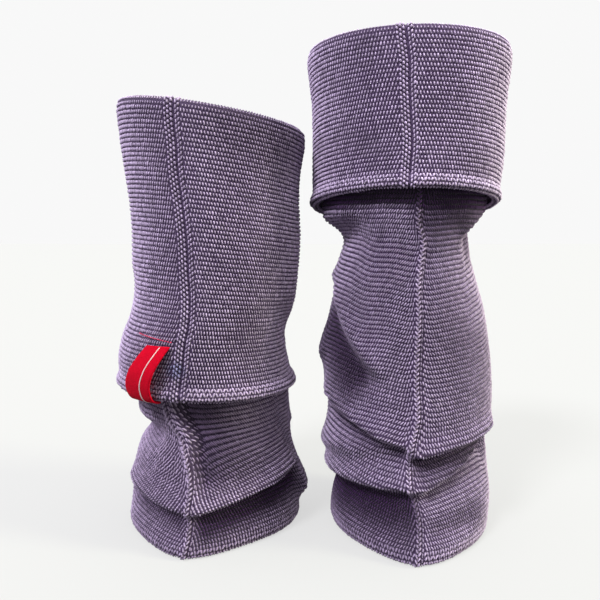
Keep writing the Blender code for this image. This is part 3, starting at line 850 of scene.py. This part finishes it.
def yarnMaterial(name, paintedLightFromKnit):
    # crown colour and deep painted shade mixed by painted light, then darkened and lightened by fine heather
    # and broad wear, and by the painted shade and painted light of creases, cuffs and hems
    material, shader, add = startMaterial(name)
    place = add("ShaderNodeTexCoord").outputs["Object"]
    if paintedLightFromKnit:
        # the ground's painted light: a cosine wave round times a cosine wave down
        knitMap = add("ShaderNodeUVMap", uv_map="knit")
        parts = add("ShaderNodeSeparateXYZ", {"Vector": knitMap.outputs["UV"]})
        waves = []
        for axis, wave in (("X", 2 * math.pi), ("Y", math.pi)):
            turn = product(add, parts.outputs[axis], wave)
            waves.append(add("ShaderNodeMath", {0: turn}, operation="COSINE").outputs[0])
        paintedLight = ranged(add, product(add, *waves), yarn["ground"], (0.0, yarn["groundPaintedLight"]))
        paintedLight = product(add, paintedLight, ranged(add, marked(add, "covered"), unitRange, (1.0, yarn["coveredPaintedLight"])))
    else:
        paintedLight = marked(add, "paintedLight")
    noises = []
    for scale, roughness, taken, given in (yarn["heather"], yarn["wear"]):
        settings = {"Vector": place, "Scale": scale, "Detail": 3.0, "Roughness": roughness}
        noise = add("ShaderNodeTexNoise", settings).outputs["Fac"]
        noises.append((noise, ranged(add, noise, taken, given)))
    (fine, heather), (_, wear) = noises
    plain = blended(add, paintedLight, fourth(yarn["deepPaintedShade"]), fourth(yarn["crown"]))
    cooled = blended(add, paintedLight, fourth(yarn["deepPaintedShade"]), fourth(yarn["cool"]))
    reach = add("ShaderNodeVectorMath", {0: place, 1: tuple(mm * x for x in yarn["coolPatch"])},
                operation="DISTANCE").outputs["Value"]
    near = ranged(add, reach, [mm * x for x in yarn["coolReach"]], (yarn["coolShare"], 0.0))
    patched = blended(add, near, plain, cooled)
    value = product(add, heather, wear)
    if not paintedLightFromKnit:
        value = product(add, value, ranged(add, marked(add, "tint"), unitRange, yarn["tints"]))
    # not clamped, because painted shade below 0 is painted light, paler than the yarn
    shaded = blended(add, marked(add, "paintedShade"), fourth((1.0, 1.0, 1.0)), fourth(yarn["paintedShade"]),
                     clamp_factor=False)
    dyed = add("ShaderNodeVectorMath", {0: patched, 1: shaded}, operation="MULTIPLY").outputs[0]
    final = add("ShaderNodeVectorMath", {0: dyed, 3: value}, operation="SCALE")
    links = material.node_tree.links
    links.new(final.outputs["Vector"], shader.inputs["Base Color"])
    shader.inputs["Roughness"].default_value = yarn["roughness"]
    shader.inputs["Specular IOR Level"].default_value = yarn["specular"]
    shader.inputs["Sheen Weight"].default_value = yarn["sheen"]
    shader.inputs["Sheen Roughness"].default_value = yarn["sheenRoughness"]
    shader.inputs["Sheen Tint"].default_value = fourth(yarn["sheenTint"])
    height, (strength, depth) = (paintedLight, yarn["groundBump"]) if paintedLightFromKnit else (fine, yarn["strokeBump"])
    bump = add("ShaderNodeBump", {"Height": height, "Strength": strength, "Distance": depth})
    links.new(bump.outputs["Normal"], shader.inputs["Normal"])
    return material


stitchYarn = yarnMaterial("lilac yarn", False)
clothYarn = yarnMaterial("lilac knit ground", True)
print("materials made")

rng = np.random.default_rng(7)

# Shells of cloth, each on its own solid's form
topGap = cloth["foldRadius"] + cloth["insideDepth"] + cloth["seamGap"]
shells = {}
for tube in (leftLeg, rightLeg):
    profile = legProfile(tube, tube["rim"] - topGap, shellGrid["legStep"], shellGrid["hiddenStep"])
    shells[tube["name"]] = clothShell(tube, profile, clothYarn)
for tube in (leftCuff, rightCuff):
    shells[tube["name"]] = clothShell(tube, cuffProfile(tube, shellGrid["cuffStep"]), clothYarn)

# Strokes over what shows. The rows stay clear of the front seam to its left and right. Seam columns:
# distance right of the seam, lean, half length, half width, how proud, pitch, phase
legSeam = {
    "clear": (2.1, 3.4),
    "columns": (
        (-0.95, 38.0, 1.75, 0.62, 1.25, 2.7, 0.0),
        (0.75, -38.0, 1.75, 0.62, 1.25, 2.7, 0.5),
        (2.75, 4.0, 1.5, 0.42, 0.9, 2.7, 0.2),
    ),
}
cuffSeam = {
    "clear": (6.6, 3.9),
    "columns": (
        (-5.4, 14.0, 1.30, 0.78, 1.30, 2.65, 0.0),
        (-3.5, 16.0, 1.30, 0.80, 1.40, 2.65, 0.5),
        (-1.6, 18.0, 1.30, 0.82, 1.40, 2.65, 0.0),
        (1.0, -12.0, 1.50, 0.62, 1.10, 2.65, 0.3),
        (2.8, -18.0, 1.40, 0.75, 1.20, 2.65, 0.8),
    ),
}


def knitOver(tube, profile, stitch, seam, ends):
    # every stroke of a tube, shared out down its length among one piece for each of the ends
    skin = denseCloth(tube, profile)
    rows = awayFromSeam(tube, knitRows(tube, skin, stitch, rng), seam["clear"])
    rows = chosen(rows, rows["points"][:, 2] > 0.0)
    strokes = joined(rows, seamStitches(tube, skin, seam["columns"], rng))
    part = np.minimum((strokes["share"] * len(ends)).astype(int), len(ends) - 1)
    return [
        spindles(tube["name"] + "_stitches" + end, chosen(strokes, part == i), stitchYarn, rng)
        for i, end in enumerate(ends)
    ]


whole = ("",)
halves = ("_upper", "_lower")
stitchPieces = {}
for tube, ends in ((leftLeg, whole), (rightLeg, halves)):
    profile = legProfile(tube, tube["stitchTop"], lattice["profileStep"])
    stitchPieces[tube["name"]] = knitOver(tube, profile, legStitch, legSeam, ends)
for tube, ends in ((leftCuff, halves), (rightCuff, whole)):
    profile = cuffProfile(tube, lattice["profileStep"])
    stitchPieces[tube["name"]] = knitOver(tube, profile, cuffStitch, cuffSeam, ends)
print("stitches made")

for name, shell in shells.items():
    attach(shell, "root")
    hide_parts(name)
    for piece in stitchPieces[name]:
        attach(piece, "root")

# Loop label: a ribbon sewn on along its top, bowed off the cuff and taken under the cuff's edge
label = {
    "columns": ("height", "outset", "centreAngle", "halfWidth"),
    "path": (
        (122, 0.9, -20.5, 8.2),
        (116, 4.0, -23.0, 8.3),
        (108, 6.6, -26.5, 8.5),
        (100, 7.2, -29.5, 8.6),
        (94, 6.2, -30.5, 8.6),
        (90.2, 4.4, -30.5, 8.5),
        (88.6, 1.6, -30.0, 8.4),
        (88.4, -1.2, -29.5, 8.2),
    ),
    "thickness": 0.9,
    "steps": 56,
    "across": 14,
    "lineAt": 0.27,          # the thin pale line's place from the middle to the right edge
    "lineHalfWidth": 0.36,
    "lineHeight": 0.28,      # its crown over its edges
    "lineProud": 0.02,       # its edges over the ribbon
    "lineSunk": 0.1,
    "lineAcross": 4,
    "lineRows": slice(1, -6),    # the ribbon's own steps that it runs over
    "flat": (0.0172, 0.050),
    "red": (0.64, 0.001, 0.020),
    "pale": (0.86, 0.74, 0.76),
    "redRelief": 0.6,
    "paleRelief": 0.4,
    "weave": 2.2,            # threads to a millimetre
    "weaveDepth": 0.0002,
    "dyeScale": 300.0,
    "dyeShades": (0.88, 1.12),
    "threadShades": (0.86, 1.06),
    "roughness": 0.8,
    "specular": 0.05,
}


def labelPoints(at, across):
    # the cuff's own points at the path's height and angle, moved out: across runs from -1 to 1
    table = np.array(label["path"], float)
    knots = np.arange(len(table))
    path = {}
    for i, column in enumerate(label["columns"]):
        rows = np.stack([knots, table[:, i]], axis=1)[::-1]
        path[column] = tableValue(rows, ("knot", "value"), "value", at)
    height = path["height"] + 0.0 * across
    seamAngle = section(leftCuff, "seamAngle", height)
    radius = (section(leftCuff, "halfWidth", height) + section(leftCuff, "halfDepth", height)) / 2
    angle = path["centreAngle"] + across * np.degrees(path["halfWidth"] / radius)
    return clothPoints(leftCuff, angle - seamAngle, height, -path["outset"] + 0.0 * across)


def bandNormals(points):
    # outward unit normals of an open grid that runs down and across to the right
    normal = np.cross(np.gradient(points, axis=0), np.gradient(points, axis=1))
    return unit(normal)


def closedBand(name, inner, outer, material):
    # two grids of the same size as the faces of a thin band, closed along all four edges
    rows, columns = inner.shape[:2]
    r, c = np.meshgrid(np.arange(rows - 1), np.arange(columns - 1), indexing="ij")
    a = (r * columns + c).ravel()
    skin = rows * columns
    front = np.stack([a, a + columns, a + columns + 1, a + 1], axis=1)
    back = front[:, ::-1] + skin
    left = np.arange(rows - 1) * columns
    right = left + columns - 1
    first = np.arange(columns - 1)
    last = first + (rows - 1) * columns
    edges = [
        np.stack([left, left + skin, left + columns + skin, left + columns], axis=1),
        np.stack([right, right + columns, right + columns + skin, right + skin], axis=1),
        np.stack([first, first + 1, first + 1 + skin, first + skin], axis=1),
        np.stack([last, last + skin, last + 1 + skin, last + 1], axis=1),
    ]
    faceSets = [front, back] + edges
    corners = np.concatenate([outer.reshape(-1, 3), inner.reshape(-1, 3)])
    item = newMesh(name, corners, faceSets, material)
    # the ribbon's map counts millimetres across and down
    wide = np.linalg.norm(np.diff(outer, axis=1), axis=-1).mean() * np.arange(columns)
    long = np.linalg.norm(np.diff(outer, axis=0), axis=-1).mean() * np.arange(rows)
    spot = np.stack(np.meshgrid(wide, long), axis=-1).reshape(-1, 2)
    cornerNumbers = np.concatenate([f.ravel() for f in faceSets]) % skin
    ribbonMap = item.data.uv_layers.new(name="ribbon")
    ribbonMap.data.foreach_set("uv", spot[cornerNumbers].astype(np.float32).ravel())
    return item


def ribbonMaterial(name, colour, relief):
    # a plain weave: two crossed sine waves raise the threads and paint shade where they sink, and a slow
    # noise varies the dye
    material, shader, add = startMaterial(name)
    ribbonMap = add("ShaderNodeUVMap", uv_map="ribbon")
    parts = add("ShaderNodeSeparateXYZ", {"Vector": ribbonMap.outputs["UV"]})
    waves = []
    for axis in ("X", "Y"):
        turn = product(add, parts.outputs[axis], 2 * math.pi * label["weave"])
        waves.append(add("ShaderNodeMath", {0: turn}, operation="SINE").outputs[0])
    threads = product(add, *waves)
    bump = add("ShaderNodeBump", {"Height": threads, "Strength": relief, "Distance": label["weaveDepth"]})
    place = add("ShaderNodeTexCoord").outputs["Object"]
    dye = add("ShaderNodeTexNoise", {"Vector": place, "Scale": label["dyeScale"], "Detail": 2.0})
    shade = ranged(add, dye.outputs["Fac"], unitRange, label["dyeShades"])
    value = product(add, shade, ranged(add, threads, (-1.0, 1.0), label["threadShades"]))
    final = add("ShaderNodeVectorMath", {0: colour, 3: value}, operation="SCALE")
    links = material.node_tree.links
    links.new(final.outputs["Vector"], shader.inputs["Base Color"])
    links.new(bump.outputs["Normal"], shader.inputs["Normal"])
    shader.inputs["Roughness"].default_value = label["roughness"]
    shader.inputs["Specular IOR Level"].default_value = label["specular"]
    return material


labelRed = ribbonMaterial("label red ribbon", label["red"], label["redRelief"])
labelPale = ribbonMaterial("label pale thread", label["pale"], label["paleRelief"])
at = np.linspace(0.0, len(label["path"]) - 1.0, label["steps"] + 1)[:, None]
bandInner = labelPoints(at, np.linspace(-1.0, 1.0, label["across"] + 1)[None, :])
bandOuter = bandInner + bandNormals(bandInner) * label["thickness"]
labelBand = closedBand("left_label_band", bandInner, bandOuter, labelRed)
widest = max(halfWidth for _, _, _, halfWidth in label["path"])
acrossLine = np.linspace(-1.0, 1.0, label["lineAcross"] + 1)[None, :]
lineBase = labelPoints(at[label["lineRows"]], label["lineAt"] + acrossLine * label["lineHalfWidth"] / widest)
lineNormals = bandNormals(lineBase)
crown = np.sqrt(1.0 - acrossLine ** 2)[..., None]
lineInner = lineBase + lineNormals * (label["thickness"] - label["lineSunk"])
lineOuter = lineBase + lineNormals * (label["thickness"] + label["lineProud"] + label["lineHeight"] * crown)
labelLine = closedBand("left_label_line", lineInner, lineOuter, labelPale)
labelLength = np.linalg.norm(np.diff(bandOuter, axis=0), axis=-1).mean(axis=1).sum()
print("label made", "length", round(float(labelLength), 1))

# The strokes of thread that show above the label where it is sewn on, between two angles off the seam
tack = {
    "fromSeam": (-35.0, -9.0),
    "heights": (128.0, 124.8),
    "count": 15,
    "offCloth": 0.35,
    "wander": 0.5,
    "colour": (0.66, 0.055, 0.135),
    "roughness": 0.7,
    "stroke": {
        "halfLong": 0.66,
        "halfWide": 0.42,
        "proud": 0.85,
        "sunk": 0.3,
        "paintedShade": 0.0,
        "gap": 0.0,
        "crown": 1.0,
    },
}
tackAngles = np.linspace(*tack["fromSeam"], tack["count"])
tackHeights = np.linspace(*tack["heights"], tack["count"])
tackPoints = clothPoints(leftCuff, tackAngles, tackHeights, -tack["offCloth"] + 0.0 * tackAngles)
tackOut = unit((tackPoints - (*leftCuff["axis"], 0.0)) * (1.0, 1.0, 0.0))
tackWay = unit(np.gradient(tackPoints, axis=0) + rng.normal(0.0, tack["wander"], tackPoints.shape))
tackThread, tackShader, _ = startMaterial("label tacking thread")
tackShader.inputs["Base Color"].default_value = fourth(tack["colour"])
tackShader.inputs["Roughness"].default_value = tack["roughness"]
tackStrokes = {key: np.full(tack["count"], value) for key, value in tack["stroke"].items()}
tackStrokes.update({"points": tackPoints, "normals": tackOut, "way": tackWay})
tackStitches = spindles("left_label_tacking", tackStrokes, tackThread, rng)
for piece in (labelBand, labelLine, tackStitches):
    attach(piece, "root")
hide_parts("left_label")

# Floor, light and camera
studio = {
    "floor": (0.14, 0.14, 0.139),
    "floorGlow": 0.620,
    "floorSize": 9.0,
    "background": 0.94,
    # each sun: where it stands, strength, colour
    "leftSun": ((-0.42, -0.54, 0.76), 2.3, (0.99, 1.0, 1.03)),
    "rightSun": ((0.90, -0.15, 0.46), 2.9, (0.99, 1.03, 0.75)),
    "sunAngle": 14.0,
    # the light tent's brightness each way
    "front": 0.30,
    "back": 1.0,
    "left": (1.15, 1.15, 1.22),
    "right": (1.60, 1.64, 1.26),
    "top": 1.5,
    "underneath": 0.06,
    # and where one way fades into the next: along y, along x, by x squared, and up and down by z
    "frontToBack": (-0.6, 0.6),
    "leftToRight": (-0.2, 0.2),
    "middleToSides": (0.05, 0.75),
    "levelToTop": (0.25, 0.85),
    "levelToLow": (0.08, -0.35),
}


def studioFloor():
    # a level square, divided in two each way; it glows a little and lights nothing from below
    size = studio["floorSize"] / mm
    along = np.linspace(-size, size, 3)
    x, y = np.meshgrid(along, along)
    grid = np.stack([x, y, 0.0 * x], axis=-1)
    a = np.array([0, 1, 3, 4])
    faces = np.stack([a, a + 1, a + 4, a + 3], axis=1)
    material, shader, _ = startMaterial("pale floor")
    shader.inputs["Base Color"].default_value = fourth(studio["floor"])
    shader.inputs["Roughness"].default_value = 1.0
    shader.inputs["Specular IOR Level"].default_value = 0.0
    shader.inputs["Emission Color"].default_value = fourth((1.0, 1.0, 1.0))
    shader.inputs["Emission Strength"].default_value = studio["floorGlow"]
    item = newMesh("studio_floor", grid.reshape(-1, 3), [faces], material)
    item.visible_diffuse = False
    return item


def sun(name):
    # a wide soft sun that shines from its place towards the origin
    (x, y, z), strength, colour = studio[name]
    light = bpy.data.lights.new(name, "SUN")
    light.energy = strength
    light.color = colour
    light.angle = math.radians(studio["sunAngle"])
    item = bpy.data.objects.new(name, light)
    item.location = (x, y, z)
    item.rotation_euler = (math.atan2(math.hypot(x, y), z), 0.0, math.atan2(x, -y))
    bpy.context.scene.collection.objects.link(item)


def grey(level):
    return (level, level, level, 1.0)


def lightTent():
    # brightness by direction: left or right by x squared, front or back by y, the top by z, all faded to the
    # dark below; the camera sees an even pale backdrop instead
    world = bpy.data.worlds.new("light tent")
    bpy.context.scene.world = world
    world.use_nodes = True
    add = nodeAdder(world)
    parts = add("ShaderNodeSeparateXYZ", {"Vector": add("ShaderNodeTexCoord").outputs["Generated"]})
    x, y, z = (parts.outputs[axis] for axis in ("X", "Y", "Z"))
    backness = ranged(add, y, studio["frontToBack"], unitRange)
    middle = blended(add, backness, grey(studio["front"]), grey(studio["back"]))
    rightness = ranged(add, x, studio["leftToRight"], unitRange)
    sides = blended(add, rightness, fourth(studio["left"]), fourth(studio["right"]))
    level = blended(add, ranged(add, product(add, x, x), studio["middleToSides"], unitRange), middle, sides)
    above = blended(add, ranged(add, z, studio["levelToTop"], unitRange), level, grey(studio["top"]))
    tent = blended(add, ranged(add, z, studio["levelToLow"], unitRange), above, grey(studio["underneath"]))
    seen = add("ShaderNodeLightPath").outputs["Is Camera Ray"]
    final = blended(add, seen, tent, grey(studio["background"]))
    background = world.node_tree.nodes["Background"]
    world.node_tree.links.new(final, background.inputs["Color"])
    background.inputs["Strength"].default_value = 1.0


studioFloor()
lightTent()
sun("leftSun")
sun("rightSun")
bpy.context.scene.view_settings.view_transform = "Standard"

photoView = {
    "lens": 39.6,
    "sensor": 36.0,
    "place": (-0.0054, -0.422, 0.187),
    "lean": 84.0,            # 90 looks level, less looks down
}
camera = bpy.data.cameras.new("photo view")
camera.lens = photoView["lens"]
camera.sensor_width = photoView["sensor"]
cameraItem = bpy.data.objects.new("photo view", camera)
cameraItem.location = photoView["place"]
cameraItem.rotation_euler = (math.radians(photoView["lean"]), 0.0, 0.0)
bpy.context.scene.collection.objects.link(cameraItem)
bpy.context.scene.camera = cameraItem

print("scene made")
